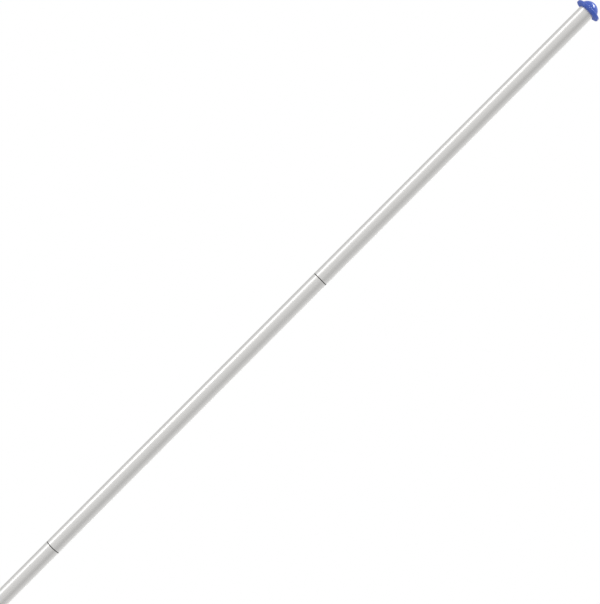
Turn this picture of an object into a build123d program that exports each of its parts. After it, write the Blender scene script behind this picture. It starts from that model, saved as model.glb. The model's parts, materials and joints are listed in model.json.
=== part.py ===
from build123d import *
import math
import os

os.makedirs("parts", exist_ok=True)

# Sectional aluminium flagpole. The origin is the centre of the pole's lower end, +Z is up,
# and the cleat and the halyard are on the -Y side. All sizes are in millimetres.

# Pole tubes
pole_diameter = 48.0
pole_wall = 1.5
section_length = 1170.0
section_count = 5
swage_length = 100.0
swage_clearance = 0.15
swage_lead = 1.0
shoulder_length = 2.5
mouth_chamfer = 0.4

# Plastic sleeve round the part of the pole that stands in the ground
sleeve_length = 877.0
sleeve_wall = 1.0
sleeve_clearance = 0.1

# Truck cap
cap_diameter = 79.0
cap_wall = 2.5
flange_thickness = 10.0
flange_lower_fillet = 3.0
flange_upper_fillet = 3.5
dome_base_diameter = 57.0
dome_height = 22.0
dome_foot_fillet = 1.2
plug_length = 30.0
plug_clearance = 0.2
plug_lead = 1.0

# Rope guides in the cap's flange
guide_offset = 31.9
guide_hole_spacing = 23.6
guide_length = 31.0
guide_width = 5.6
guide_depth = 5.1
guide_hole_diameter = 5.4

# Pan head screws
screw_diameter = 4.0
screw_clearance = 0.1
screw_head_diameter = 7.6
screw_head_height = 2.6
screw_head_fillet = 1.2
screw_recess_length = 4.4
screw_recess_width = 1.1
screw_recess_depth = 1.4
screw_reach = 4.0
cap_screw_drop = 14.0

# Cleat
cleat_drop = 160.0
cleat_base_length = 37.0
cleat_base_width = 14.0
cleat_base_thickness = 9.0
cleat_seat_clearance = 0.05
cleat_screw_spacing = 19.0
cleat_screw_recess = 3.0
horn_width = 8.0
horn_thickness = 5.4
horn_corner = 2.5
horn_root = (4.5, 13.0)
horn_elbow = (17.5, 29.0)
horn_bend = (20.5, 38.5)
horn_tip = (22.0, 58.0)
horn_elbow_radius = 9.0
horn_bend_radius = 40.0
horn_tip_fillet = 2.0
cleat_edge_fillet = 1.5

# Rope
rope_diameter = 4.5
rope_gap = 0.15
guide_bend_radius = 8.0

# Snap hooks
hook_wire = 4.0
hook_eye_radius = 5.8
hook_neck_half_width = 4.3
hook_neck_drop = 6.3
hook_bow_radius = 10.0
hook_bow_drop = 32.2
hook_nose_angle = 6.0
tang_length = 2.6
tang_thickness = 2.0
tongue_length = 4.5
tongue_root = 1.5
tongue_width = 3.0
tongue_thickness = 1.6
gate_diameter = 4.0
gate_gap = 0.6
gate_slot_clearance = 0.2
gate_slot_relief = 0.7
rivet_diameter = 1.6
rivet_clearance = 0.06
rivet_head_diameter = 3.0
rivet_head_height = 0.5
rivet_head_gap = 0.1

# Hitches that tie the hooks to the halyard
hitch_clearance = 0.3
hitch_height = 13.5
hitch_eye_gap = 3.0
hitch_fillet = 1.5
hitch_loop_radius = 4.4
lower_hook_height = 2250.0
upper_hook_height = 3200.0

# Hank of spare rope, hung from the cleat
hank_drop = 88.0
hank_projection = 20.5
hank_length = 270.0
hank_width = 46.0
hank_fan_width = 44.0
hank_fan_height = 66.0
hank_neck_width = 27.0
hank_wrap_height = 24.0
hank_thickness = 18.0
hank_fillet = 6.0

# Rope at the cleat, as (sideways, distance off the pole, height above the cleat's centre)
turn_clearance = 3.4
exit_share = 0.35
corner_share = 0.45
loop_radius = 6.4
left_lead_points = [
    (-17.5, 10.5, -48.0),
    (-14.0, 17.5, -62.0),
    (-9.0, 20.5, -74.0),
    (-9.0, 20.5, -88.0),
]
right_lead_points = [
    (18.0, 8.0, -8.0),
    (17.5, 13.5, -34.0),
    (14.0, 18.0, -56.0),
    (9.0, 20.5, -72.0),
    (9.0, 20.5, -88.0),
]
loop_side_points = [
    (4.2, 20.5, -88.0),
    (4.2, 20.5, -75.0),
    (6.6, 20.2, -61.0),
    (6.6, 19.4, -28.0),
    (6.6, 17.2, 6.0),
]

# Sizes that follow from those above
pole_radius = pole_diameter / 2
bore_radius = pole_radius - pole_wall
swage_radius = bore_radius - swage_clearance
exposed_length = section_length - swage_length
joint_heights = [section_length + i * exposed_length for i in range(section_count)]
pole_top = joint_heights[-1] + exposed_length
cleat_height = joint_heights[1] - cleat_drop
rope_radius = rope_diameter / 2
leg_x = guide_hole_spacing / 2
leg_y = -guide_offset
screw_hole_radius = screw_diameter / 2 + screw_clearance

# Seats of the screws' heads
cleat_screw_face = pole_radius + cleat_base_thickness - cleat_screw_recess
cleat_screw_heights = [
    cleat_height + cleat_screw_spacing / 2,
    cleat_height - cleat_screw_spacing / 2,
]
cleat_screw_seats = [
    Plane(origin=(0, -cleat_screw_face, height), x_dir=(1, 0, 0), z_dir=(0, -1, 0))
    for height in cleat_screw_heights
]
cap_screw_seat = Plane(
    origin=(0, -pole_radius, pole_top - cap_screw_drop), x_dir=(1, 0, 0), z_dir=(0, -1, 0)
)
screw_seats = cleat_screw_seats + [cap_screw_seat]
drill_depth = cleat_base_thickness + 2 * pole_wall + swage_clearance


# Ground tube and its sleeve
with BuildPart() as ground_tube:
    with BuildSketch(Plane.XY):
        Circle(pole_radius)
        Circle(bore_radius, mode=Mode.SUBTRACT)
    extrude(amount=section_length)

with BuildPart() as ground_sleeve:
    with BuildSketch(Plane.XY):
        Circle(pole_radius + sleeve_clearance + sleeve_wall)
        Circle(pole_radius + sleeve_clearance, mode=Mode.SUBTRACT)
    extrude(amount=sleeve_length)


def make_section(joint_height):
    """A tube whose reduced lower end sits in the piece below, up to the joint height."""
    swage_bottom = joint_height - swage_length
    shoulder_top = joint_height + shoulder_length
    section_top = joint_height + exposed_length
    with BuildPart() as section:
        with BuildSketch(Plane.XZ):
            with BuildLine():
                Polyline(
                    (swage_radius - swage_lead / 2, swage_bottom),
                    (swage_radius, swage_bottom + swage_lead),
                    (swage_radius, joint_height),
                    (pole_radius, shoulder_top),
                    (pole_radius, section_top),
                    (bore_radius + mouth_chamfer, section_top),
                    (bore_radius, section_top - mouth_chamfer),
                    (bore_radius, shoulder_top),
                    (swage_radius - pole_wall, joint_height),
                    (swage_radius - pole_wall, swage_bottom),
                    close=True,
                )
            make_face()
        revolve(axis=Axis.Z)
        for seat in screw_seats:
            with BuildSketch(seat):
                Circle(screw_hole_radius)
            extrude(amount=-drill_depth, mode=Mode.SUBTRACT)
    return section


sections = [make_section(height) for height in joint_heights]


# Truck cap: a hollow moulding with a plug, a round flange and a dome
plug_radius = bore_radius - plug_clearance
plug_bore = plug_radius - cap_wall
flange_top = pole_top + flange_thickness
dome_base_radius = dome_base_diameter / 2
dome_radius = (dome_base_radius**2 + dome_height**2) / (2 * dome_height)
dome_centre = flange_top + dome_height - dome_radius
dome_inner_radius = dome_radius - cap_wall
hollow_top = dome_centre + math.sqrt(dome_inner_radius**2 - plug_bore**2)
guide_floor = flange_top - guide_depth
bridge_radius = guide_bend_radius - rope_radius - rope_gap


def circles_of_radius(part, radius):
    """The part's round edges of one radius, from the lowest to the highest."""
    circles = part.edges().filter_by(GeomType.CIRCLE)
    return circles.filter_by(lambda edge: abs(edge.radius - radius) < 0.01).sort_by(Axis.Z)


with BuildPart() as truck_cap:
    with BuildSketch(Plane.XZ):
        with BuildLine():
            RadiusArc((0, flange_top + dome_height), (dome_base_radius, flange_top), dome_radius)
            Polyline(
                (dome_base_radius, flange_top),
                (cap_diameter / 2, flange_top),
                (cap_diameter / 2, pole_top),
                (plug_radius, pole_top),
                (plug_radius, pole_top - plug_length + plug_lead),
                (plug_radius - plug_lead / 2, pole_top - plug_length),
                (plug_bore, pole_top - plug_length),
                (plug_bore, hollow_top),
            )
            RadiusArc(
                (plug_bore, hollow_top), (0, dome_centre + dome_inner_radius), -dome_inner_radius
            )
            Line((0, dome_centre + dome_inner_radius), (0, flange_top + dome_height))
        make_face()
    revolve(axis=Axis.Z)
    fillet(circles_of_radius(truck_cap, cap_diameter / 2)[-1], flange_upper_fillet)
    fillet(circles_of_radius(truck_cap, cap_diameter / 2)[0], flange_lower_fillet)
    fillet(circles_of_radius(truck_cap, dome_base_radius)[-1], dome_foot_fillet)
    with BuildSketch(Plane.XY.offset(guide_floor)):
        with Locations((0, guide_offset), (0, -guide_offset)):
            SlotOverall(guide_length, guide_width)
    extrude(amount=guide_depth + dome_foot_fillet, mode=Mode.SUBTRACT)
    with BuildSketch(Plane.XY.offset(pole_top)):
        with GridLocations(guide_hole_spacing, 2 * guide_offset, 2, 2):
            Circle(guide_hole_diameter / 2)
    extrude(amount=flange_thickness, mode=Mode.SUBTRACT)
    for guide_y in (guide_offset, -guide_offset):
        with BuildSketch(Plane.XZ.offset(guide_y)):
            for side in (1, -1):
                with BuildLine():
                    inner = side * (leg_x - guide_bend_radius)
                    CenterArc(
                        (inner, guide_floor - bridge_radius),
                        bridge_radius,
                        90,
                        -90 * side,
                    )
                    Polyline(
                        (inner + side * bridge_radius, guide_floor - bridge_radius),
                        (side * leg_x, guide_floor - bridge_radius),
                        (side * leg_x, guide_floor),
                        (inner, guide_floor),
                    )
                make_face()
        extrude(amount=guide_hole_diameter / 2, both=True, mode=Mode.SUBTRACT)
    with BuildSketch(cap_screw_seat):
        Circle(screw_hole_radius)
    extrude(amount=-2 * pole_wall - 2 * cap_wall, mode=Mode.SUBTRACT)


def make_screw(seat, length):
    """A pan head screw with a cross recess; the seat plane's normal points out of the head."""
    outward = Axis(seat.origin, seat.z_dir)
    with BuildPart() as screw:
        with BuildSketch(seat):
            Circle(screw_head_diameter / 2)
        extrude(amount=screw_head_height)
        fillet(screw.edges().filter_by(GeomType.CIRCLE).sort_by(outward)[-1], screw_head_fillet)
        with BuildSketch(seat.offset(screw_head_height - screw_recess_depth)):
            Rectangle(screw_recess_length, screw_recess_width)
            Rectangle(screw_recess_width, screw_recess_length)
        extrude(amount=screw_recess_depth, mode=Mode.SUBTRACT)
        with BuildSketch(seat):
            Circle(screw_diameter / 2)
        extrude(amount=-length)
    return screw


cap_screw = make_screw(cap_screw_seat, pole_wall + plug_clearance + cap_wall + screw_reach)
cleat_screw_length = cleat_screw_face - pole_radius + pole_wall + screw_reach
cleat_screw_upper = make_screw(cleat_screw_seats[0], cleat_screw_length)
cleat_screw_lower = make_screw(cleat_screw_seats[1], cleat_screw_length)


def cleat_point(projection, height):
    """A point of the cleat's side outline: distance off the pole, height above the centre."""
    return (-pole_radius - projection, cleat_height + height)


# Cleat: a base with a saddle back and two swept horns
saddle_depth = pole_radius - math.sqrt(pole_radius**2 - (cleat_base_width / 2) ** 2)

with BuildPart() as cleat:
    with BuildSketch(Plane.XZ.offset(pole_radius - saddle_depth)):
        with Locations((0, cleat_height)):
            SlotOverall(cleat_base_length, cleat_base_width, rotation=90)
    extrude(amount=cleat_base_thickness + saddle_depth)
    fillet(cleat.faces().sort_by(Axis.Y)[0].edges(), cleat_edge_fillet)
    for side in (1, -1):
        with BuildLine(Plane.YZ):
            horn_line = FilletPolyline(
                cleat_point(horn_root[0], side * horn_root[1]),
                cleat_point(horn_elbow[0], side * horn_elbow[1]),
                cleat_point(horn_bend[0], side * horn_bend[1]),
                cleat_point(horn_tip[0], side * horn_tip[1]),
                radius=[horn_elbow_radius, horn_bend_radius],
            )
        with BuildSketch(Plane(origin=horn_line @ 0, x_dir=(1, 0, 0), z_dir=horn_line % 0)):
            RectangleRounded(horn_width, horn_thickness, horn_corner)
        sweep(path=horn_line)
        fillet(cleat.faces().sort_by(Axis.Z)[-1 if side > 0 else 0].edges(), horn_tip_fillet)
    with Locations((0, 0, cleat_height)):
        Cylinder(
            pole_radius + cleat_seat_clearance, 2 * cleat_base_length, mode=Mode.SUBTRACT
        )
    for seat in cleat_screw_seats:
        with BuildSketch(seat):
            Circle(screw_head_diameter / 2 + screw_clearance)
        extrude(amount=2 * cleat_screw_recess + horn_thickness, mode=Mode.SUBTRACT)
        with BuildSketch(seat):
            Circle(screw_hole_radius)
        extrude(amount=-cleat_base_thickness, mode=Mode.SUBTRACT)


# Halyard: both legs, the run over the cap, and the turns on the cleat
rope_top = guide_floor + rope_radius + rope_gap
rope_pitch = rope_diameter + rope_gap
inner_layer = rope_radius + rope_gap
outer_layer = inner_layer + rope_pitch
front_layer = cleat_base_thickness + inner_layer
leg_layer = guide_offset - pole_radius
outside_leg = leg_x + rope_pitch + rope_gap
beside_base = cleat_base_width / 2 + inner_layer + rope_gap
beside_horn = horn_width / 2 + inner_layer + rope_gap
base_end = cleat_base_length / 2
horn_crook = horn_elbow[1]
inner_turn = base_end + rope_radius + turn_clearance
wrap_radius = rope_pitch - rope_gap


def rope_point(x, projection, height):
    """A point beside the cleat: sideways, distance off the pole, height above its centre."""
    return Vector(x, -pole_radius - projection, cleat_height + height)


def make_rope(points, radii):
    """A rope along straight runs joined by arcs."""
    with BuildPart() as rope:
        with BuildLine() as route:
            FilletPolyline(*points, radius=radii)
        with BuildSketch(Plane(origin=route.line @ 0, z_dir=route.line % 0)):
            Circle(rope_radius)
        sweep(path=route.line)
    return rope


lower_corner = rope_point(-outside_leg, inner_layer, -inner_turn)
upper_corner = rope_point(outside_leg, inner_layer, inner_turn + rope_radius)
left_lead = [rope_point(*point) for point in left_lead_points]
right_lead = [rope_point(*point) for point in right_lead_points]
left_exit = lower_corner + (left_lead[0] - lower_corner) * exit_share
right_exit = upper_corner + (right_lead[0] - upper_corner) * exit_share

halyard_points = [
    left_exit,
    lower_corner,
    rope_point(beside_base, inner_layer, -inner_turn),
    rope_point(beside_base, inner_layer, -base_end / 2),
    rope_point(leg_x, leg_layer, base_end),
    (leg_x, leg_y, rope_top),
    (-leg_x, leg_y, rope_top),
    rope_point(-leg_x, leg_layer, -base_end / 2),
    rope_point(-beside_base, outer_layer, -horn_crook),
    rope_point(beside_base, outer_layer, -horn_crook),
    rope_point(beside_base - rope_gap, front_layer, -base_end * 3 / 4),
    rope_point(-beside_base, front_layer + rope_radius / 2, base_end / 4),
    rope_point(-outside_leg, leg_layer + rope_pitch + rope_gap, base_end * 2 / 3),
    rope_point(-outside_leg, inner_layer, base_end),
    upper_corner,
    right_exit,
]
halyard_radii = [6.0, 9.0, 14.0, 30.0, 8.0, 8.0, 60.0, 9.0, 8.5, 10.0, 8.0]
halyard_radii += [wrap_radius, wrap_radius, 6.0]
halyard = make_rope(halyard_points, halyard_radii)


def lead_radii(points):
    """The radius of each corner of a free rope: as large as the shorter run beside it allows."""
    radii = []
    for before, corner, after in zip(points, points[1:], points[2:]):
        shorter = min((corner - before).length, (after - corner).length)
        half_turn = math.radians((corner - before).get_angle(after - corner)) / 2
        radii.append(corner_share * shorter / math.tan(half_turn))
    print("Radii of a free run:", [round(radius, 1) for radius in radii])
    return radii


# The hank's two leads from the cleat, and the loop that hangs it on the upper horn
left_route = [left_exit] + left_lead
right_route = [right_exit] + right_lead
hank_lead_left = make_rope(left_route, lead_radii(left_route))
hank_lead_right = make_rope(right_route, lead_radii(right_route))

loop_side = [rope_point(*point) for point in loop_side_points]
loop_top = rope_point(beside_horn, outer_layer, inner_turn + rope_pitch)
loop_route = [Vector(-point.X, point.Y, point.Z) for point in loop_side + [loop_top]]
loop_route += [loop_top] + loop_side[::-1]
side_radii = lead_radii(loop_side + [loop_top])
loop_radii = side_radii + [loop_radius, loop_radius] + side_radii[::-1]
hank_loop = make_rope(loop_route, loop_radii)


# Hank of spare rope: the loop ends fan out above its wraps, and the loops hang below them
hank_top = cleat_height - hank_drop

with BuildPart() as halyard_hank:
    with BuildSketch(Plane.XZ.offset(pole_radius + hank_projection - hank_thickness / 2)) as outline:
        with BuildLine():
            hank_side = Polyline(
                (0, hank_top),
                (hank_fan_width / 2, hank_top),
                (hank_neck_width / 2, hank_top - hank_fan_height),
                (hank_neck_width / 2, hank_top - hank_fan_height - hank_wrap_height),
                (hank_width / 2, hank_top - hank_length * 2 / 3),
                (hank_width / 2, hank_top - hank_length),
                (0, hank_top - hank_length),
            )
            mirror(hank_side, about=Plane.YZ)
        make_face()
        outer_corners = outline.vertices().filter_by(lambda corner: abs(corner.X) > rope_radius)
        rows = outer_corners.group_by(Axis.Y)
        fillet(rows[0], hank_width / 2 - rope_diameter)
        fillet(rows[1] + rows[-1], hank_fillet + rope_gap)
    extrude(amount=hank_thickness)
    fillet(halyard_hank.edges().filter_by(Axis.Y, reverse=True), hank_fillet)


# Outline of a snap hook in its own plane, with the eye's centre at the origin
neck_radius = (hook_neck_half_width**2 + hook_neck_drop**2 - hook_eye_radius**2) / (
    2 * (hook_eye_radius - hook_neck_half_width)
)
neck_x = hook_neck_half_width + neck_radius
eye_angle = math.degrees(math.atan2(hook_neck_drop, neck_x))
bow_below_neck = hook_bow_drop - hook_neck_drop
flare = math.degrees(
    math.atan2(bow_below_neck, neck_x)
    - math.acos((hook_bow_radius + neck_radius) / math.hypot(neck_x, bow_below_neck))
)
flare_sin = math.sin(math.radians(flare))
flare_cos = math.cos(math.radians(flare))
pivot = Vector(neck_x - neck_radius * flare_cos, -hook_neck_drop - neck_radius * flare_sin)
nose = Vector(
    hook_bow_radius * math.cos(math.radians(hook_nose_angle)),
    -hook_bow_drop + hook_bow_radius * math.sin(math.radians(hook_nose_angle)),
)
gate_reach = (nose - pivot).length
gate_line = (nose - pivot).normalized()
gate_angle = math.degrees(math.atan2(gate_line.Y, gate_line.X))
gate_length = gate_reach - gate_gap
tang_angle = math.degrees(tang_length / neck_radius)
hitch_outer_radius = rope_radius + hitch_clearance + rope_diameter
hook_y = leg_y - rope_radius - hitch_clearance - hitch_loop_radius - rope_radius


def hook_plane(eye_height):
    """The plane that a hook lies in: x to the side, y up, z away from the pole."""
    return Plane(origin=(leg_x, hook_y, eye_height), x_dir=(1, 0, 0), z_dir=(0, -1, 0))


def make_frame(plane):
    """The bent wire of a snap hook, with the tang of its gate and the latch's tongue."""
    with BuildPart() as frame:
        with BuildLine(plane) as wire:
            CenterArc(
                (neck_x, -hook_neck_drop),
                neck_radius,
                180 + flare - tang_angle,
                tang_angle - flare - eye_angle,
            )
            CenterArc((0, 0), hook_eye_radius, -eye_angle, 180 + 2 * eye_angle)
            CenterArc((-neck_x, -hook_neck_drop), neck_radius, eye_angle, -eye_angle - flare)
            Line((-pivot.X, pivot.Y), (-hook_bow_radius * flare_cos,
                                       -hook_bow_drop + hook_bow_radius * flare_sin))
            CenterArc(
                (0, -hook_bow_drop), hook_bow_radius, 180 - flare, 180 + flare + hook_nose_angle
            )
        wire_line = wire.wires()[0]
        with BuildSketch(Plane(origin=wire_line @ 0, z_dir=wire_line % 0)):
            Circle(hook_wire / 2)
        sweep(path=wire_line)
        with BuildSketch(plane):
            with Locations(pivot - gate_line * tang_length / 2):
                SlotOverall(tang_length + hook_wire, hook_wire, rotation=gate_angle)
            with Locations(pivot):
                Circle(rivet_diameter / 2 + rivet_clearance, mode=Mode.SUBTRACT)
        extrude(amount=tang_thickness / 2, both=True)
        with BuildSketch(plane):
            with Locations(nose - gate_line * (tongue_length - tongue_root) / 2):
                Rectangle(tongue_length + tongue_root, tongue_width, rotation=gate_angle)
        extrude(amount=tongue_thickness / 2, both=True)
    return frame


def make_gate(plane):
    """The gate's bar, forked over the tang at its hinge and over the tongue at its tip."""
    hinge_point = plane.from_local_coords(pivot)
    direction = plane.from_local_coords(nose) - hinge_point
    bar_plane = Plane(origin=hinge_point, x_dir=plane.z_dir, z_dir=direction)
    tang_slot = tang_thickness + 2 * gate_slot_clearance
    tongue_slot = tongue_thickness + 2 * gate_slot_clearance
    with BuildPart() as gate:
        with BuildSketch(bar_plane):
            Circle(gate_diameter / 2)
        extrude(amount=gate_length)
        with BuildSketch(plane):
            with Locations(pivot):
                Circle(gate_diameter / 2)
        extrude(amount=gate_diameter / 2, both=True)
        with BuildSketch(bar_plane.offset(-gate_diameter)):
            Rectangle(tang_slot, 2 * gate_diameter)
        extrude(
            amount=gate_diameter + hook_wire / 2 + gate_slot_relief, mode=Mode.SUBTRACT
        )
        with BuildSketch(bar_plane.offset(gate_length)):
            Rectangle(tongue_slot, 2 * gate_diameter)
        extrude(amount=gate_gap - tongue_length - gate_slot_relief, mode=Mode.SUBTRACT)
        with BuildSketch(plane):
            with Locations(pivot):
                Circle(rivet_diameter / 2 + rivet_clearance)
        extrude(amount=gate_diameter, both=True, mode=Mode.SUBTRACT)
    return gate


def make_rivet(plane):
    """The rivet that the gate turns on, with a low head on each side."""
    head_seat = gate_diameter / 2 + rivet_head_gap
    with BuildPart() as rivet:
        with BuildSketch(plane):
            with Locations(pivot):
                Circle(rivet_diameter / 2)
        extrude(amount=head_seat + rivet_head_height / 2, both=True)
        for side in (1, -1):
            with BuildSketch(plane.offset(side * head_seat)):
                with Locations(pivot):
                    Circle(rivet_head_diameter / 2)
            extrude(amount=side * rivet_head_height)
    return rivet


def make_hitch(eye_height):
    """The rope's turns round the halyard and its loop through the hook's eye."""
    barrel_bottom = eye_height + hook_eye_radius + hitch_eye_gap
    with BuildPart() as hitch:
        with BuildSketch(Plane.XY.offset(barrel_bottom)):
            with Locations((leg_x, leg_y)):
                Circle(hitch_outer_radius)
                Circle(rope_radius + hitch_clearance, mode=Mode.SUBTRACT)
        extrude(amount=hitch_height)
        fillet(circles_of_radius(hitch, hitch_outer_radius), hitch_fillet)
        with Locations(Location((leg_x, hook_y, eye_height + hook_eye_radius), (0, 90, 0))):
            Torus(hitch_loop_radius, rope_radius)
    return hitch


# All pieces by name
pieces = {
    "ground_tube": ground_tube,
    "ground_sleeve": ground_sleeve,
    "truck_cap": truck_cap,
    "cap_screw": cap_screw,
    "cleat": cleat,
    "cleat_screw_upper": cleat_screw_upper,
    "cleat_screw_lower": cleat_screw_lower,
    "halyard": halyard,
    "halyard_hank": halyard_hank,
    "hank_lead_left": hank_lead_left,
    "hank_lead_right": hank_lead_right,
    "hank_loop": hank_loop,
}
for number, section in enumerate(sections, start=1):
    pieces[f"pole_section_{number}"] = section
for place, eye_height in (("upper", upper_hook_height), ("lower", lower_hook_height)):
    pieces[f"{place}_snap_frame"] = make_frame(hook_plane(eye_height))
    pieces[f"{place}_snap_gate"] = make_gate(hook_plane(eye_height))
    pieces[f"{place}_snap_rivet"] = make_rivet(hook_plane(eye_height))
    pieces[f"{place}_hitch"] = make_hitch(eye_height)

for node, piece in pieces.items():
    piece.part.label = node
    export_step(piece.part, f"parts/{node}.step")
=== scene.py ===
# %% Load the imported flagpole
import json
import math

import bpy
from mathutils import Matrix, Vector


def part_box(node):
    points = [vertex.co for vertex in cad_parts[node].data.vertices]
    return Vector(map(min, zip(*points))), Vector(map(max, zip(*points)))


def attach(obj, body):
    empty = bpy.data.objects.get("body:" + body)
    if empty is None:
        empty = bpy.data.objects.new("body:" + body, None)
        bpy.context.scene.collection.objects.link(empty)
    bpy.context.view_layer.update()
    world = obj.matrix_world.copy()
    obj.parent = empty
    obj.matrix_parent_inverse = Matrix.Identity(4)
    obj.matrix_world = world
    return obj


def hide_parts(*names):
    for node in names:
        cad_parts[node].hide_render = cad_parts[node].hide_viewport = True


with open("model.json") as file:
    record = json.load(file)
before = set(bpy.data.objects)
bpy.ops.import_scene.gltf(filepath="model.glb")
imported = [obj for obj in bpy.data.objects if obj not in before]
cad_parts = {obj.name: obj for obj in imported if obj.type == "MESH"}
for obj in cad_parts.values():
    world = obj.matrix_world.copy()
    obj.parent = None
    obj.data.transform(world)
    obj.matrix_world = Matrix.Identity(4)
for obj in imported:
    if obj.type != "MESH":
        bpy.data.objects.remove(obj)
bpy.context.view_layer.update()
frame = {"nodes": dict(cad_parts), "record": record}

# %% [markdown]
# ## The camera
# The picture shows the upper part of a slim pole that leans to the right across the whole frame
# and leaves it at the lower left corner. The pole itself stands upright here, so the lean comes
# from a camera that is rolled about its own line of sight. Aiming it by an empty and a constraint
# would work too, but its three own directions are known, and they are the columns of its matrix.
# It stands on the side away from the halyard, because the picture shows a bare tube, and level
# with the middle of the frame. Six metres is near enough that the lower joint bows down and the
# cap is seen from below, as in the picture. The scale and the place of the pole's top in the
# frame give the aim.

# %% Camera at the picture's viewing angle
picture_width = 600
picture_height = 604
pixels_per_metre = 351.0
pole_top = 6.520
pole_top_pixel = Vector((584.9, 13.7))
pole_direction = Vector((0.706, 0.708))
camera_distance = 6.0
sensor_width = 36
looking = Vector((0, -1, 0))
level_right = Vector((-1, 0, 0))
level_up = level_right.cross(looking)
camera_right = pole_direction.x * level_up + pole_direction.y * level_right
camera_up = pole_direction.y * level_up - pole_direction.x * level_right

to_centre = Vector((
    picture_width / 2 - pole_top_pixel.x,
    pole_top_pixel.y - picture_height / 2,
)) / pixels_per_metre
aim = Vector((0, 0, pole_top)) + to_centre.x * camera_right + to_centre.y * camera_up

camera_data = bpy.data.cameras.new("picture_camera")
camera_data.sensor_width = sensor_width
camera_data.lens = sensor_width * camera_distance * pixels_per_metre / picture_width
camera_data.clip_end = 1000
camera = bpy.data.objects.new("picture_camera", camera_data)
camera.matrix_world = Matrix.Translation(aim - camera_distance * looking) @ Matrix(
    (camera_right, camera_up, -looking)
).transposed().to_4x4()
bpy.context.scene.collection.objects.link(camera)
bpy.context.scene.camera = camera
print("Lens:", round(camera_data.lens), "mm, aim:", [round(place, 3) for place in aim])

# %% [markdown]
# ## From control points to a smooth line
# A rope bends smoothly, so its line is a NURBS spline: the control points pull the line without
# creasing it. A Bezier spline would do as well, but it needs two handles for each point. The line
# is read back as a mesh of short edges, because the rope's own mesh is made from it.

# %% Smooth line of a route


def spline_line(points):
    """The smooth NURBS line of a route's control points."""
    curve = bpy.data.curves.new("route", "CURVE")
    curve.dimensions = "3D"
    spline = curve.splines.new("NURBS")
    spline.points.add(len(points) - 1)
    for control, point in zip(spline.points, points):
        control.co = (*point, 1)
    spline.order_u = 3
    spline.use_endpoint_u = True
    spline.resolution_u = 16
    holder = bpy.data.objects.new("route", curve)
    wire = bpy.data.meshes.new_from_object(holder)
    line = [vertex.co.copy() for vertex in wire.vertices]
    bpy.data.objects.remove(holder)
    bpy.data.curves.remove(curve)
    bpy.data.meshes.remove(wire)
    return line


square_corner = [(0, 0, 0), (0.1, 0, 0), (0.1, 0.1, 0)]
print("A square corner becomes", len(spline_line(square_corner)), "points")

# %% [markdown]
# ## From a line to a rope
# A plain bevelled curve could be the rope, but its texture coordinates stretch where the control
# points lie far apart, and a braid would stretch with them. So the line is walked along in equal
# steps, and a second curve gives it its round section. The steps then number the rings of the
# mesh, and a ring's number is its distance along the rope.

# %% Equal steps along a line


def equal_steps(line, step):
    """Points on a line at one equal distance, and the line's length.

    The first and last steps follow the line's own ends, so that two ropes which meet end to end
    have parallel end rings and show no crack between them.
    """
    length = sum((after - before).length for before, after in zip(line, line[1:]))
    count = max(2, round(length / step))
    spacing = length / count
    walked = [line[0]]
    passed = 0.0
    for before, after in zip(line, line[1:]):
        run = (after - before).length
        while len(walked) < count and passed + run >= spacing * len(walked):
            share = (spacing * len(walked) - passed) / run
            walked.append(before.lerp(after, share))
        passed += run
    walked.append(line[-1])
    walked[1] = walked[0] + spacing * (line[1] - line[0]).normalized()
    walked[-2] = walked[-1] + spacing * (line[-2] - line[-1]).normalized()
    return walked, length


print("Steps on the corner:", len(equal_steps(spline_line(square_corner), 0.01)[0]) - 1)

# %% Round tube through points
rope_radius = 0.00225
rope_sides = 12


def tube_mesh(name, points):
    """A closed tube of the rope's thickness, with one ring of vertices at each point."""
    curve = bpy.data.curves.new(name, "CURVE")
    curve.dimensions = "3D"
    curve.bevel_depth = rope_radius
    curve.bevel_resolution = (rope_sides - 4) // 2
    curve.use_fill_caps = True
    curve.twist_mode = "MINIMUM"
    spline = curve.splines.new("POLY")
    spline.points.add(len(points) - 1)
    for control, point in zip(spline.points, points):
        control.co = (*point, 1)
    holder = bpy.data.objects.new(name, curve)
    mesh = bpy.data.meshes.new_from_object(holder)
    bpy.data.objects.remove(holder)
    bpy.data.curves.remove(curve)
    while mesh.uv_layers:
        mesh.uv_layers.remove(mesh.uv_layers[0])
    return mesh


print("Rope:", 2000 * rope_radius, "mm across,", rope_sides, "sides")

# %% [markdown]
# ### The rope's texture map
# A braid is drawn later by its distance along the rope and its angle round it. A ring's number
# and a vertex's place in its ring say both, so the map is written straight from them. Unwrapping
# would cut the tube at seams of its own choice and lose the distance. The faces between the last
# side and the first end at a full turn, or the braid would run backwards across them.

# %% Mesh of a rope
end_overlap = 0.0002


def map_tube(mesh, ring, spacing):
    """Writes the distance along the rope and the turn round it into the texture map."""
    uv = mesh.uv_layers.new(name="rope_map")
    for face in mesh.polygons:
        face.use_smooth = len(face.vertices) == 4
        places = [divmod(mesh.loops[corner].vertex_index, ring) for corner in face.loop_indices]
        sides = [side for _, side in places]
        crosses_seam = max(sides) - min(sides) > 1
        for corner, (ring_number, side) in zip(face.loop_indices, places):
            turn = 1 if crosses_seam and side == 0 else side / ring
            uv.data[corner].uv = (ring_number * spacing, turn)


def rope(name, line, step):
    """A rope along a line, with a texture map that counts diameters along it.

    Its ends run a hair past the line's ends, which closes the seam where two ropes meet.
    """
    walked, length = equal_steps(line, step)
    walked[0] += end_overlap * (walked[0] - walked[1]).normalized()
    walked[-1] += end_overlap * (walked[-1] - walked[-2]).normalized()
    mesh = tube_mesh(name, walked)
    ring = len(mesh.vertices) // len(walked)
    map_tube(mesh, ring, length / (len(walked) - 1) / (2 * rope_radius))
    piece = bpy.data.objects.new(name, mesh)
    bpy.context.scene.collection.objects.link(piece)
    print(f"{name}: {length:.3f} m, {len(walked)} rings of {ring}, {len(mesh.polygons)} faces")
    return piece


print("Overlap at a rope's ends:", 1000 * end_overlap, "mm")

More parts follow.
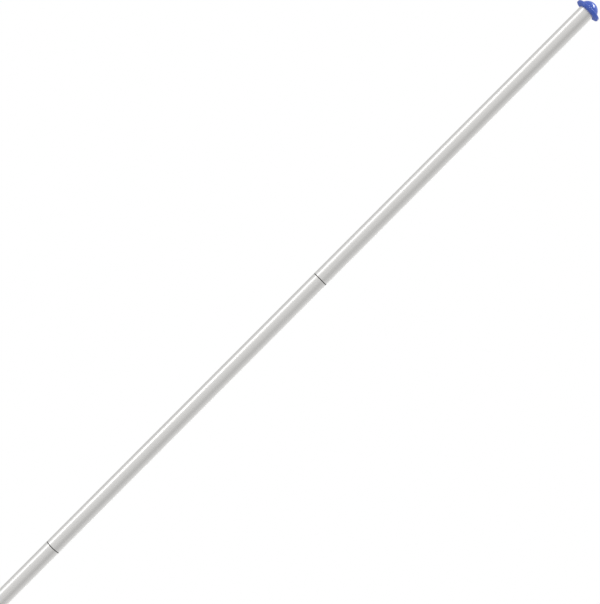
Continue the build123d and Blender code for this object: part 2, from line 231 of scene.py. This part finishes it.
# %% [markdown]
# ## The halyard
# The halyard is one rope: up one side of the cleat's line, over the cap through a rope guide, and
# down again, then in turns round the cleat's two horns, where its own tension holds it. A
# straight leg and a tight turn want different control points: a long gap between two points makes
# the spline start to bend far too early, so each leg has one more point a few diameters before
# its bend.

# %% Halyard
leg_x = 0.0118
leg_y = -0.0319
rope_top = 6.5273
halyard_points = [
    (-0.01691, -0.02924, 2.04750),
    (-0.01660, -0.02640, 2.05585),
    (0.00955, -0.02640, 2.05585),
    (0.00955, -0.02640, 2.07075),
    (leg_x, leg_y, 2.09850),
    (leg_x, leg_y, 2.12500),
    (leg_x, leg_y, rope_top - 0.0150),
    (leg_x, leg_y, rope_top),
    (-leg_x, leg_y, rope_top),
    (-leg_x, leg_y, rope_top - 0.0150),
    (-leg_x, leg_y, 2.09500),
    (-leg_x, leg_y, 2.07075),
    (-0.00955, -0.03105, 2.05100),
    (0.00955, -0.03105, 2.05100),
    (0.00940, -0.03540, 2.06612),
    (-0.00955, -0.03653, 2.08462),
    (-0.01660, -0.03670, 2.09233),
    (-0.01660, -0.02640, 2.09850),
    (0.01660, -0.02640, 2.10640),
    (0.01709, -0.02836, 2.09436),
]
halyard_step = 0.0022
halyard = rope("halyard_rope", spline_line(halyard_points), halyard_step)

# %% [markdown]
# ## The spare rope
# What is left of the rope after the cleat's turns is folded into a hank: long loops, four wraps
# round them near their upper ends, and a fan of short loop ends above the wraps. One loop is
# pulled out longer and hangs the hank on the cleat's upper horn. It is still the same rope, so it
# is one spline. Inside the wraps the strands lie in three rows. Below, each strand has its own
# way down, named by its place in the neck, half way down and near the fold, because real loops
# are never equal.

# %% Places of the strands in the hank
wraps_top = 1.926
wraps_bottom = 1.902
hank_middle = -0.0445
back_row, middle_row, front_row = -0.0408, hank_middle, -0.0482
neck_columns = {"far_left": -0.0063, "left": -0.0021, "right": 0.0021, "far_right": 0.0063}
layers = [-0.03775, -0.04225, -0.04675, -0.05125]
below_neck, half_way_down, above_fold = 1.868, 1.832, 1.790
fan_root, fan_widest = 1.944, 1.964
print("Layers of the hank:", layers)

# %% [markdown]
# ### Loops of the hank
# A long loop is two strands and the fold between them. A short loop of the fan leaves the wraps
# upwards and comes back into them beside itself. Each is a short list of control points, so the
# hank can be written as a row of loops, and one that lies badly is mended by one number.

# %% Strands and long loops


def strand(column, row, layer, half_way, low):
    """One strand from the wraps to its fold, from its place in the neck and how far it swings."""
    across = neck_columns[column]
    depth = layers[layer]
    return [
        (across, row, wraps_top),
        (across, row, wraps_bottom),
        ((across + half_way) / 2, (row + depth) / 2, below_neck),
        (half_way, depth, half_way_down),
        (0.4 * half_way + 0.6 * low, depth, above_fold),
    ]


def hanging_loop(down, low_down, up, low_up, bottom):
    """A long loop: down one strand, round the fold at its bottom and up the other strand."""
    middle = (low_down + low_up) / 2
    reach = 0.62 * (low_up - low_down) / 2
    return [
        *down,
        (low_down, down[-1][1], bottom + 0.016),
        (middle - reach, down[-1][1], bottom),
        (middle + reach, down[-1][1], bottom + 0.001),
        (low_up, up[-1][1], bottom + 0.018),
        *reversed(up),
    ]


print("Points in a strand:", len(strand("left", middle_row, 1, 0.0, 0.0)))

# %% Short loops of the fan


def fan_loop(start, end, row, depth, middle, half_width, top):
    """A short loop above the wraps, leaning to one side."""
    first, last = neck_columns[start], neck_columns[end]
    near, far = middle + half_width, middle - half_width
    return [
        (0.65 * first + 0.35 * near, (row + depth) / 2, fan_root),
        (near, depth, fan_widest),
        (near, depth, top - 0.007),
        (middle + half_width / 2, depth, top),
        (middle - half_width / 2, depth, top - 0.001),
        (far, depth, top - 0.009),
        (far, depth, fan_widest - 0.001),
        (0.65 * last + 0.35 * far, (row + depth) / 2, fan_root - 0.001),
    ]


sample_loop = fan_loop("left", "right", middle_row, hank_middle, 0.0, 0.014, 1.985)
print("Points in a loop of the fan:", len(sample_loop))

# %% [markdown]
# ### Wraps round the hank's neck
# The rope's last length goes four times round all the strands. The neck is nearly square, so a
# helix on a circle would cut its corners. A power a little under one swells the circle towards a
# square.

# %% Wraps round the neck
points_per_turn = 12
wrap_turns = 4
wrap_half_width = 0.0112
wrap_half_depth = 0.0085
squareness = 0.75
wrap_start = 10
first_wrap, last_wrap = 1.9048, 1.9232
wraps = []
for number in range(wrap_turns * points_per_turn + 1):
    angle = -math.radians(wrap_start + number * 360 / points_per_turn)
    across, out = math.cos(angle), math.sin(angle)
    share = number / (wrap_turns * points_per_turn)
    wraps.append((
        math.copysign(wrap_half_width * abs(across) ** squareness, across),
        hank_middle + math.copysign(wrap_half_depth * abs(out) ** squareness, out),
        first_wrap + (last_wrap - first_wrap) * share,
    ))
print("Wraps:", wrap_turns, "turns,", len(wraps), "points")

# %% [markdown]
# ### The spare rope's route
# The rope comes down from the cleat on its left side, makes three long loops, goes up over the
# horn and back, makes three more, wraps the neck and returns to the cleat on its right side.

# %% Leads between the cleat and the hank
left_lead = [
    (-0.01691, -0.02924, 2.04750),
    (-0.01750, -0.03450, 2.03200),
    (-0.01400, -0.04150, 2.01800),
    (-0.00900, -0.04450, 2.00600),
    (-0.00900, -0.04450, 1.99200),
    (-0.00780, -0.04450, 1.95800),
]
right_lead = [
    (0.01250, -0.04500, 1.94400),
    (0.01100, -0.04450, 1.96800),
    (0.00900, -0.04450, 1.99200),
    (0.00900, -0.04450, 2.00800),
    (0.01400, -0.04200, 2.02400),
    (0.01750, -0.03750, 2.04600),
    (0.01800, -0.03200, 2.07200),
    (0.01709, -0.02836, 2.09436),
]
print("Points in the leads:", len(left_lead), "and", len(right_lead))

# %% Loop over the cleat's upper horn
loop_over_horn = [
    (0.00320, -0.04450, 1.95600),
    (0.00420, -0.04450, 1.99200),
    (0.00420, -0.04450, 2.00500),
    (0.00660, -0.04420, 2.01900),
    (0.00660, -0.04340, 2.05200),
    (0.00660, -0.04120, 2.08600),
    (0.00655, -0.03105, 2.10880),
    (-0.00655, -0.03105, 2.10880),
    (-0.00660, -0.04120, 2.08600),
    (-0.00660, -0.04340, 2.05200),
    (-0.00660, -0.04420, 2.01900),
    (-0.00420, -0.04450, 2.00500),
    (-0.00420, -0.04450, 1.99200),
    (-0.00320, -0.04450, 1.95600),
]
print("Points in the loop over the horn:", len(loop_over_horn))

# %% Long loops
first_loop = hanging_loop(
    strand("far_left", middle_row, 1, -0.0110, -0.0190), -0.0190,
    strand("far_right", back_row, 0, 0.0140, 0.0205), 0.0205, 1.7245,
)
second_loop = hanging_loop(
    strand("left", back_row, 0, -0.0060, -0.0142), -0.0142,
    strand("right", back_row, 0, 0.0050, 0.0142), 0.0142, 1.7520,
)
third_loop = hanging_loop(
    strand("far_left", back_row, 0, -0.0150, -0.0205), -0.0205,
    strand("right", middle_row, 1, 0.0010, 0.0060), 0.0060, 1.7330,
)
fourth_loop = hanging_loop(
    strand("left", middle_row, 2, -0.0010, -0.0170), -0.0170,
    strand("right", front_row, 3, 0.0030, 0.0085), 0.0085, 1.7480,
)
fifth_loop = hanging_loop(
    strand("far_left", front_row, 3, -0.0130, -0.0200), -0.0200,
    strand("far_right", front_row, 3, 0.0140, 0.0198), 0.0198, 1.7265,
)
last_strand = [
    (0.0130, hank_middle, 1.878),
    (0.0120, layers[2], 1.836),
    (0.0160, layers[2], above_fold),
]
last_loop = hanging_loop(
    strand("left", front_row, 3, -0.0060, -0.0070), -0.0070, last_strand, 0.0185, 1.7340,
)
print("Points in the last loop:", len(last_loop))

# %% Route of the spare rope
hank_points = [
    *left_lead,
    *first_loop,
    *fan_loop("far_right", "left", back_row, -0.0359, 0.0070, 0.0140, 1.9895),
    *second_loop,
    *fan_loop("right", "far_left", back_row, -0.0402, -0.0070, 0.0140, 1.9840),
    *third_loop,
    *loop_over_horn,
    *fourth_loop,
    *fan_loop("right", "far_left", front_row, -0.0488, -0.0070, 0.0140, 1.9870),
    *fifth_loop,
    *fan_loop("far_right", "left", front_row, -0.0530, 0.0070, 0.0140, 1.9810),
    *last_loop,
    *wraps,
    *right_lead,
]
hank_line = spline_line(hank_points)
hank_step = 0.0015
hank = rope("hank_rope", hank_line, hank_step)

# %% [markdown]
# ## The hitches
# Each snap hook hangs on three turns of rope tied round one leg of the halyard, with a loop
# through the hook's eye. The turns are a helix a rope's width outside the leg. The loop leaves
# the lowest turn, goes over the wire of the eye, through the eye and back up behind it.

# %% Hitches of the two snap hooks
hitch_turn_radius = 0.00480
hitch_turn_height = 0.00450
hitch_top = 0.0142
eye_radius = 0.0058
hook_y = -0.0411
loop_radius = 0.0044
turn_points = 2 * points_per_turn + points_per_turn // 2 + 4
turn_start = 150
loop_points = 10
loop_start, loop_turn = 60, 33
hitch_step = 0.0007
hitches = {}
for place, eye_height in (("upper", 3.200), ("lower", 2.250)):
    hitch_points = []
    for number in range(turn_points):
        angle = math.radians(turn_start - number * 360 / points_per_turn)
        hitch_points.append((
            leg_x + hitch_turn_radius * math.cos(angle),
            leg_y + hitch_turn_radius * math.sin(angle),
            eye_height + eye_radius + hitch_top - number * hitch_turn_height / points_per_turn,
        ))
    for number in range(loop_points):
        angle = math.radians(loop_start + number * loop_turn)
        hitch_points.append((
            leg_x,
            hook_y + loop_radius * math.cos(angle),
            eye_height + eye_radius + loop_radius * math.sin(angle),
        ))
    hitches[place] = rope(f"{place}_hitch_rope", spline_line(hitch_points), hitch_step)

# %% [markdown]
# ## Node helpers
# Every finish below is built from nodes in code. One small function adds a node and links or sets
# its inputs, which keeps each finish readable as a list of what it is made of.

# %% Node helpers


def add_node(tree, kind, inputs=None, **settings):
    """Adds a node; each input takes a plain value or another node's output."""
    made = tree.nodes.new(kind)
    for setting, value in settings.items():
        setattr(made, setting, value)
    for socket, value in (inputs or {}).items():
        if isinstance(value, bpy.types.NodeSocket):
            tree.links.new(value, made.inputs[socket])
        else:
            made.inputs[socket].default_value = value
    return made


def new_group(name, inputs, outputs):
    """A shader node group with named float, vector or colour sockets."""
    group = bpy.data.node_groups.new(name, "ShaderNodeTree")
    for socket, kind in inputs.items():
        group.interface.new_socket(socket, in_out="INPUT", socket_type=f"NodeSocket{kind}")
    for socket, kind in outputs.items():
        group.interface.new_socket(socket, in_out="OUTPUT", socket_type=f"NodeSocket{kind}")
    entry = group.nodes.new("NodeGroupInput")
    leave = group.nodes.new("NodeGroupOutput")
    return group, entry.outputs, leave.inputs


def new_material(name, colour, **values):
    """A material whose shader takes plain numbers on its own sockets."""
    material = bpy.data.materials.new(name)
    material.use_nodes = True
    material.diffuse_color = (*colour, 1)
    tree = material.node_tree
    shader = tree.nodes["Principled BSDF"]
    shader.inputs["Base Color"].default_value = (*colour, 1)
    for socket, value in values.items():
        shader.inputs[socket.replace("_", " ")].default_value = value
    return material, tree, shader


print("Node helpers:", add_node.__name__, new_group.__name__, new_material.__name__)

# %% [markdown]
# ### Small steps of arithmetic and colour
# The finishes share a few small steps: take a value from one range to another, calculate with it,
# read the height on the pole and mix two tones. A colour ramp could do some of this, but a plain
# range with its four numbers is easier to read and to change.

# %% Arithmetic and colour


def map_range(tree, value, low, high, to_low, to_high):
    """A value taken from one range to another."""
    return add_node(tree, "ShaderNodeMapRange", {
        "Value": value, "From Min": low, "From Max": high, "To Min": to_low, "To Max": to_high,
    }).outputs["Result"]


def maths(tree, operation, first, second=0.0, third=0.0):
    """One step of arithmetic in a node tree."""
    inputs = {0: first, 1: second, 2: third}
    return add_node(tree, "ShaderNodeMath", inputs, operation=operation).outputs["Value"]


def piece_height(tree):
    """The height above the pole's lower end, for a piece whose object sits at the origin."""
    place = add_node(tree, "ShaderNodeTexCoord")
    return add_node(tree, "ShaderNodeSeparateXYZ", {"Vector": place.outputs["Object"]}).outputs["Z"]


def tinted(tree, factor, first, second):
    """A mix of two colours."""
    mix = add_node(tree, "ShaderNodeMix", data_type="RGBA")
    tree.links.new(factor, mix.inputs["Factor"])
    mix.inputs["A"].default_value = (*first, 1)
    mix.inputs["B"].default_value = (*second, 1)
    return mix.outputs["Result"]


def painted(tree, shader, factor, first, second):
    """Gives the shader a colour that wanders between two tones."""
    tree.links.new(tinted(tree, factor, first, second), shader.inputs["Base Color"])


def describe(material):
    """Prints what a finish is made of."""
    print(material.name, "has", len(material.node_tree.nodes), "nodes")


steps = (map_range, maths, piece_height, tinted, painted, describe)
print("Small steps:", *(step.__name__ for step in steps))

# %% [markdown]
# ## Shared surface effects
# Three effects are used by more than one finish, so each is a node group. Draw lines are the fine
# lengthways lines that a die leaves on a tube or a wire: noise stretched along one axis. Handling
# marks are wide soft patches where hands and cloths have dulled or polished a surface. Fine grain
# is the slight unevenness of moulded or cast skin: smooth noise for plastic, sharper for metal.

# %% Draw lines
draw_lines, entry, leave = new_group(
    "draw lines",
    {"Vector": "Vector", "Stretch": "Vector"},
    {"Lines": "Float", "Height": "Float"},
)
stretched = add_node(draw_lines, "ShaderNodeMapping", {
    "Vector": entry["Vector"], "Scale": entry["Stretch"],
})
fine = add_node(draw_lines, "ShaderNodeTexNoise", {
    "Vector": stretched.outputs["Vector"], "Scale": 1.0, "Detail": 3.0, "Roughness": 0.6,
})
broad = add_node(draw_lines, "ShaderNodeTexNoise", {
    "Vector": stretched.outputs["Vector"], "Scale": 0.17, "Detail": 2.0,
})
both = maths(draw_lines, "ADD", fine.outputs["Fac"], broad.outputs["Fac"])
draw_lines.links.new(map_range(draw_lines, both, 0.7, 1.3, 0.0, 1.0), leave["Lines"])
draw_lines.links.new(both, leave["Height"])
print(draw_lines.name, "has", len(draw_lines.nodes), "nodes")

# %% Handling marks
handling_marks, entry, leave = new_group(
    "handling marks", {"Vector": "Vector", "Size": "Float"}, {"Marks": "Float"},
)
patches = add_node(handling_marks, "ShaderNodeTexNoise", {
    "Vector": entry["Vector"], "Scale": entry["Size"],
    "Detail": 4.0, "Roughness": 0.55, "Distortion": 0.6,
})
handling_marks.links.new(
    map_range(handling_marks, patches.outputs["Fac"], 0.4, 0.68, 0.0, 1.0), leave["Marks"]
)
print(handling_marks.name, "has", len(handling_marks.nodes), "nodes")

# %% Fine grain
fine_grain, entry, leave = new_group(
    "fine grain", {"Vector": "Vector", "Size": "Float", "Sharpness": "Float"}, {"Grain": "Float"},
)
grain = add_node(fine_grain, "ShaderNodeTexNoise", {
    "Vector": entry["Vector"], "Scale": entry["Size"],
    "Detail": 2.5, "Roughness": entry["Sharpness"],
})
fine_grain.links.new(grain.outputs["Fac"], leave["Grain"])
print("Groups:", [group.name for group in bpy.data.node_groups])

# %% [markdown]
# ## Placing an effect
# A group is a recipe, and each material places it with its own values. It reads the piece's
# Object coordinates: the pieces sit at the origin, so a pattern runs on unbroken from one tube to
# the next. Bump leaves the shape alone and only turns the normal, which is enough for lines finer
# than a hair.

# %% Placing an effect and feeding a bump


def use_group(tree, group, **inputs):
    """Places a shared effect in a material, on the piece's own coordinates."""
    place = add_node(tree, "ShaderNodeTexCoord")
    made = add_node(tree, "ShaderNodeGroup", node_tree=group)
    tree.links.new(place.outputs["Object"], made.inputs["Vector"])
    for socket, value in inputs.items():
        made.inputs[socket].default_value = value
    return made.outputs


def bumped(tree, shader, height, strength, distance):
    """Feeds a height into the shader's normal."""
    bump = add_node(tree, "ShaderNodeBump", {
        "Height": height, "Strength": strength, "Distance": distance,
    })
    tree.links.new(bump.outputs["Normal"], shader.inputs["Normal"])


print("Helpers for effects:", use_group.__name__, bumped.__name__)

# %% [markdown]
# ## Anodised aluminium
# The tubes are drawn and then anodised: a pale, slightly warm metal with a satin skin. The skin
# blurs reflections evenly, and the die's lines run along the tube, finer than a hair. The
# roughness varies a little with the lines and with handling, which keeps the long highlight from
# looking painted on. Each tube's lower end is drawn in to fit the one below, and painted shade
# sits in the groove this leaves: a dark ring of colour stands in for the shadow in each joint.
# Their heights repeat, so one wrapped distance marks them all.

# %% Anodised aluminium
aluminium, tree, shader = new_material(
    "satin_anodised_aluminium", (0.70, 0.69, 0.67), Metallic=1.0,
)
lines = use_group(tree, draw_lines, Stretch=(1800, 1800, 5))
marks = use_group(tree, handling_marks, Size=7.0)
dulling = map_range(tree, maths(tree, "ADD", lines["Lines"], marks["Marks"]), 0.0, 2.0, 0.25, 0.33)
bumped(tree, shader, lines["Height"], 0.06, 0.0001)
describe(aluminium)

# %% Painted shade in the joints
first_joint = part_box("ground_tube")[1][2]
joint_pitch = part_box("pole_section_1")[1][2] - first_joint
groove_height = 0.0025
# Painted shade: the dark grey colour in each joint's groove stands in for the shadow there.
joint_shade_colour = (0.105, 0.104, 0.101)
joint_shade_roughness = 0.6
height = piece_height(tree)
from_groove = maths(tree, "SUBTRACT", height, first_joint + groove_height / 2)
wrapped = maths(tree, "WRAP", from_groove, joint_pitch / 2, -joint_pitch / 2)
nearest_groove = maths(tree, "ABSOLUTE", wrapped)
in_groove = map_range(tree, nearest_groove, 0.46 * groove_height, 0.56 * groove_height, 1.0, 0.0)
above_ground_tube = maths(tree, "GREATER_THAN", height, first_joint - groove_height)
joint_shade = maths(tree, "MULTIPLY", in_groove, above_ground_tube)
joint_shade_dulling = maths(tree, "MULTIPLY", joint_shade, joint_shade_roughness)
tree.links.new(maths(tree, "MAXIMUM", dulling, joint_shade_dulling), shader.inputs["Roughness"])
bare = tinted(tree, lines["Lines"], (0.690, 0.682, 0.668), (0.735, 0.728, 0.714))
# The groove's painted shade is mixed over the bare metal's colour here.
skin = add_node(tree, "ShaderNodeMix", {"B": (*joint_shade_colour, 1)}, data_type="RGBA")
tree.links.new(bare, skin.inputs["A"])
tree.links.new(joint_shade, skin.inputs["Factor"])
tree.links.new(skin.outputs["Result"], shader.inputs["Base Color"])
print("Joints every", round(joint_pitch, 4), "m from", round(first_joint, 4))

# %% [markdown]
# ## Blue moulded cap
# The cap is injection moulded in a strong blue. Such a plastic is glossy but never optically
# flat: the skin carries a very faint waviness that breaks up the edge of each highlight. Only the
# top of the mould is polished, so the flange's underside and the plug below it are matt.

# %% Blue moulded plastic
blue, tree, shader = new_material("blue_moulded_plastic", (0.039, 0.090, 0.420), IOR=1.49)
skin = use_group(tree, fine_grain, Size=420.0, Sharpness=0.45)
marks = use_group(tree, handling_marks, Size=55.0)
painted(tree, shader, marks["Marks"], (0.035, 0.083, 0.397), (0.043, 0.097, 0.443))
polish = map_range(tree, marks["Marks"], 0.0, 1.0, 0.15, 0.24)
underside = map_range(tree, piece_height(tree), pole_top + 0.0004, pole_top + 0.0030, 0.70, 0.0)
tree.links.new(maths(tree, "MAXIMUM", polish, underside), shader.inputs["Roughness"])
bumped(tree, shader, skin["Grain"], 0.06, 0.0004)
describe(blue)

# %% [markdown]
# ## Green plastic sleeve
# The sleeve round the buried part is a thin extruded tube in dark green. It shines less than the
# cap, because earth and hands have rubbed it, and has faint lengthways lines from its die.

# %% Green extruded plastic
green, tree, shader = new_material(
    "green_extruded_plastic", (0.006, 0.066, 0.064), IOR=1.50, Specular_IOR_Level=0.3,
)
lines = use_group(tree, draw_lines, Stretch=(900, 900, 3))
marks = use_group(tree, handling_marks, Size=14.0)
painted(tree, shader, lines["Lines"], (0.005, 0.060, 0.058), (0.008, 0.074, 0.072))
tree.links.new(map_range(tree, marks["Marks"], 0.0, 1.0, 0.16, 0.27), shader.inputs["Roughness"])
bumped(tree, shader, lines["Height"], 0.10, 0.0001)
describe(green)

# %% [markdown]
# ## Cast cleat
# The cleat is a small casting with a dark grey coat. Its skin is matt and slightly pebbled, and
# the coat is a little lighter on the grain's crests.

# %% Dark grey casting
casting, tree, shader = new_material("dark_grey_casting", (0.19, 0.19, 0.19), Metallic=0.55)
skin = use_group(tree, fine_grain, Size=1900.0, Sharpness=0.7)
marks = use_group(tree, handling_marks, Size=60.0)
painted(tree, shader, skin["Grain"], (0.150, 0.150, 0.152), (0.235, 0.235, 0.232))
tree.links.new(map_range(tree, marks["Marks"], 0.0, 1.0, 0.42, 0.56), shader.inputs["Roughness"])
bumped(tree, shader, skin["Grain"], 0.25, 0.0002)
describe(casting)

# %% [markdown]
# ## Plated steel
# The hooks and screws are plated steel wire and cold-formed heads: bright grey, with small soft
# scratches that turn the highlight's edge.

# %% Plated steel
steel, tree, shader = new_material("plated_steel", (0.44, 0.44, 0.44), Metallic=1.0)
skin = use_group(tree, fine_grain, Size=900.0, Sharpness=0.6)
marks = use_group(tree, handling_marks, Size=90.0)
painted(tree, shader, marks["Marks"], (0.39, 0.39, 0.39), (0.48, 0.48, 0.47))
tree.links.new(map_range(tree, skin["Grain"], 0.3, 0.7, 0.22, 0.36), shader.inputs["Roughness"])
bumped(tree, shader, skin["Grain"], 0.12, 0.0001)
describe(steel)

# %% [markdown]
# ## White braided rope
# The rope is a round braid of white polyester. Its strands run round it both ways and pass over
# and under each other. Two sets of sine ridges, one turning left and one turning right, give the
# strands, and a third wave along the rope says which set is on top. The map's first number is the
# distance along the rope in diameters, and its second goes once round it.

# %% Round braid
braid, entry, leave = new_group(
    "round braid",
    {"Map": "Vector", "Strands": "Float", "Plaits": "Float"},
    {"Height": "Float", "Fibres": "Float"},
)
along, around, _ = add_node(braid, "ShaderNodeSeparateXYZ", {"Vector": entry["Map"]}).outputs
turning = maths(braid, "MULTIPLY", around, entry["Strands"])
running = maths(braid, "MULTIPLY", along, entry["Plaits"])
ridges = {}
for hand, operation in (("left", "ADD"), ("right", "SUBTRACT")):
    phase = maths(braid, "MULTIPLY", maths(braid, operation, running, turning), math.pi)
    ridges[hand] = maths(braid, "ABSOLUTE", maths(braid, "SINE", phase))
wave = maths(braid, "SINE", maths(braid, "MULTIPLY", running, math.tau))
over = maths(braid, "MULTIPLY_ADD", wave, 0.5, 0.5)
under = maths(braid, "SUBTRACT", 1.0, over)
left_on_top = maths(braid, "MULTIPLY", ridges["left"], over)
right_on_top = maths(braid, "MULTIPLY", ridges["right"], under)
braid.links.new(maths(braid, "MAXIMUM", left_on_top, right_on_top), leave["Height"])
yarn = add_node(braid, "ShaderNodeTexNoise", {"Vector": entry["Map"], "Scale": 30.0, "Detail": 3.0})
braid.links.new(yarn.outputs["Fac"], leave["Fibres"])
print(braid.name, "has", len(braid.nodes), "nodes")

# %% White rope
white_rope, tree, shader = new_material(
    "white_braided_rope", (0.85, 0.85, 0.84),
    Roughness=0.85, Sheen_Weight=0.25, Sheen_Roughness=0.4,
)
rope_map = add_node(tree, "ShaderNodeUVMap", uv_map="rope_map")
weave = add_node(tree, "ShaderNodeGroup", node_tree=braid)
tree.links.new(rope_map.outputs["UV"], weave.inputs["Map"])
weave.inputs["Strands"].default_value = 8
weave.inputs["Plaits"].default_value = 1.6
fibres = map_range(tree, weave.outputs["Fibres"], 0.3, 0.7, 0.9, 1.1)
shade = maths(tree, "MULTIPLY", weave.outputs["Height"], fibres)
lit_share = map_range(tree, shade, 0.0, 0.8, 0.0, 1.0)
painted(tree, shader, lit_share, (0.66, 0.66, 0.65), (0.92, 0.92, 0.91))
bumped(tree, shader, weave.outputs["Height"], 0.8, 0.0006)
describe(white_rope)

# %% [markdown]
# ## Dressing the pieces
# The rigid pieces keep their CAD shape and get a finish by their material slot. The ropes replace
# the plain rope solids and ride on the body that carries them, so they move with the joints.

# %% Finishes for the rigid pieces
finish_by_slot = {
    "aluminium": aluminium,
    "blue_plastic": blue,
    "green_plastic": green,
    "grey_casting": casting,
    "steel": steel,
}
for part in frame["record"]["subparts"]:
    if part["material_slot"] in finish_by_slot:
        mesh = frame["nodes"][part["node"]].data
        mesh.materials.clear()
        mesh.materials.append(finish_by_slot[part["material_slot"]])
        print(part["node"], "->", mesh.materials[0].name)

# %% Ropes take the place of the rope solids
for piece in (halyard, hank, *hitches.values()):
    piece.data.materials.append(white_rope)
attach(halyard, "pole")
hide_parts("halyard")
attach(hank, "pole")
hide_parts("halyard_hank", "hank_lead_left", "hank_lead_right", "hank_loop")
for place, piece in hitches.items():
    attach(piece, f"{place}_snap")
    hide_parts(f"{place}_hitch")

# %% [markdown]
# ## Floor
# The pole stands on a white paper floor that only has to carry its shadow. A square plane would
# show its edge, so this is a disc that fades to clear, with a little light of its own for the
# camera, which brings its white up to the white of the surround.

# %% Floor
floor_radius = 9.0
fade_start, fade_end = 0.35 * floor_radius, 0.98 * floor_radius
floor_glow = 0.12
bpy.ops.mesh.primitive_circle_add(
    vertices=96, radius=floor_radius, fill_type="NGON", location=(0, 0, -0.001),
)
floor = bpy.context.object
floor.name = "floor"
paper, tree, shader = new_material("white_paper", (0.9, 0.9, 0.9), Roughness=0.9)
place = add_node(tree, "ShaderNodeTexCoord")
reach = add_node(tree, "ShaderNodeVectorMath", {0: place.outputs["Object"]}, operation="LENGTH")
fade = map_range(tree, reach.outputs["Value"], fade_start, fade_end, 0.0, 1.0)
clear = add_node(tree, "ShaderNodeBsdfTransparent")
faded = add_node(tree, "ShaderNodeMixShader", {
    0: fade, 1: shader.outputs["BSDF"], 2: clear.outputs["BSDF"],
})
for_camera = add_node(tree, "ShaderNodeLightPath").outputs["Is Camera Ray"]
glow = add_node(tree, "ShaderNodeEmission", {
    "Color": (1, 1, 1, 1), "Strength": maths(tree, "MULTIPLY", for_camera, floor_glow),
})
total = add_node(tree, "ShaderNodeAddShader", {
    0: faded.outputs["Shader"], 1: glow.outputs["Emission"],
})
tree.links.new(total.outputs["Shader"], tree.nodes["Material Output"].inputs["Surface"])
floor.data.materials.append(paper)
describe(paper)

# %% [markdown]
# ## Studio surround
# A product picture has a white surround and large soft lights. The tube is a curved mirror with a
# satin skin, so what it shows is the surround itself. Real panels could stand round the pole, but
# a world is simpler: a radial gradient is the direction round the pole, and a colour ramp turns
# it into a ring of soft panels. Only reflections see the ring. The camera sees plain white, and
# matt surfaces get an even level, so colours come out as they are written.

# %% Ring of soft panels
world = bpy.data.worlds.new("studio")
bpy.context.scene.world = world
world.use_nodes = True
tree = world.node_tree
tree.nodes.clear()
direction = add_node(tree, "ShaderNodeTexCoord")
round_pole = add_node(tree, "ShaderNodeTexGradient", {
    "Vector": direction.outputs["Generated"],
}, gradient_type="RADIAL")
panels = add_node(tree, "ShaderNodeValToRGB", {"Fac": round_pole.outputs["Color"]})
panel_levels = [
    (0.000, 0.80), (0.081, 0.93), (0.160, 1.03), (0.270, 1.00), (0.310, 0.76), (0.342, 0.72),
    (0.417, 0.78), (0.472, 0.88), (0.512, 1.04), (0.564, 1.06), (0.606, 0.99), (0.647, 0.94),
    (0.686, 0.88), (0.761, 0.85), (0.797, 0.77), (0.836, 0.67), (0.878, 0.63), (0.919, 0.68),
    (0.964, 0.75), (1.000, 0.80),
]
ramp_white = 1.1
ramp = panels.color_ramp
for stop, (position, level) in enumerate(panel_levels):
    element = ramp.elements[stop] if stop < 2 else ramp.elements.new(position)
    element.position = position
    element.color = (*[level / ramp_white] * 3, 1)
levels = [level for _, level in panel_levels]
print("Panels:", len(levels), "stops, levels from", min(levels), "to", max(levels))

# %% What each kind of ray sees
height_of_ray = add_node(tree, "ShaderNodeSeparateXYZ", {"Vector": direction.outputs["Generated"]})
below = map_range(tree, height_of_ray.outputs["Z"], -0.90, -0.35, 0.35, 1.0)
even_level = map_range(tree, height_of_ray.outputs["Z"], -1.0, 1.0, 0.74, 1.08)
even = add_node(tree, "ShaderNodeBackground", {"Color": (1, 1, 1, 1), "Strength": even_level})
mirrored = add_node(tree, "ShaderNodeBackground", {
    "Color": panels.outputs["Color"], "Strength": maths(tree, "MULTIPLY", below, ramp_white),
})
white = add_node(tree, "ShaderNodeBackground", {"Color": (1, 1, 1, 1), "Strength": 1.0})
light_path = add_node(tree, "ShaderNodeLightPath")
lit = add_node(tree, "ShaderNodeMixShader", {
    0: light_path.outputs["Is Glossy Ray"],
    1: even.outputs["Background"],
    2: mirrored.outputs["Background"],
})
seen = add_node(tree, "ShaderNodeMixShader", {
    0: light_path.outputs["Is Camera Ray"],
    1: lit.outputs["Shader"],
    2: white.outputs["Background"],
})
add_node(tree, "ShaderNodeOutputWorld", {"Surface": seen.outputs["Shader"]})
print(world.name, "has", len(tree.nodes), "nodes")

# %% [markdown]
# ## Lamps
# The surround alone would light the pole too evenly. Two tall strips give the tube its long
# highlight and the casting some shape, and a small strip overhead gives the dome its one bright
# streak. Area lamps are used, because a point lamp would draw a hard spot on every glossy piece.

# %% Soft lights


def soft_light(name, place, target, width, height, power):
    """A large rectangular lamp that faces a point."""
    lamp = bpy.data.lights.new(name, "AREA")
    lamp.shape = "RECTANGLE"
    lamp.size = width
    lamp.size_y = height
    lamp.energy = power
    holder = bpy.data.objects.new(name, lamp)
    holder.location = place
    holder.rotation_euler = (Vector(target) - Vector(place)).to_track_quat("-Z", "Y").to_euler()
    bpy.context.scene.collection.objects.link(holder)
    print(f"{name}: {power} W from {place}")


soft_light("key_strip", (3.36, 1.29, 4.2), (0, 0, 4.2), 0.8, 7.0, 28)
soft_light("back_strip", (-1.8, -3.2, 4.2), (0, 0, 4.2), 0.5, 7.0, 10)
soft_light("overhead_strip", (-0.2, -0.2, 8.8), (0, 0, 6.54), 1.3, 0.25, 30)

# %% [markdown]
# ## Colour
# The Standard view shows a colour as it is written, where Blender's default would soften the
# whites of a product picture. The ropes stand proud of the CAD pieces by a millimetre or two.

# %% Plain view of colour
bpy.context.scene.view_settings.view_transform = "Standard"
print("View:", bpy.context.scene.view_settings.view_transform)
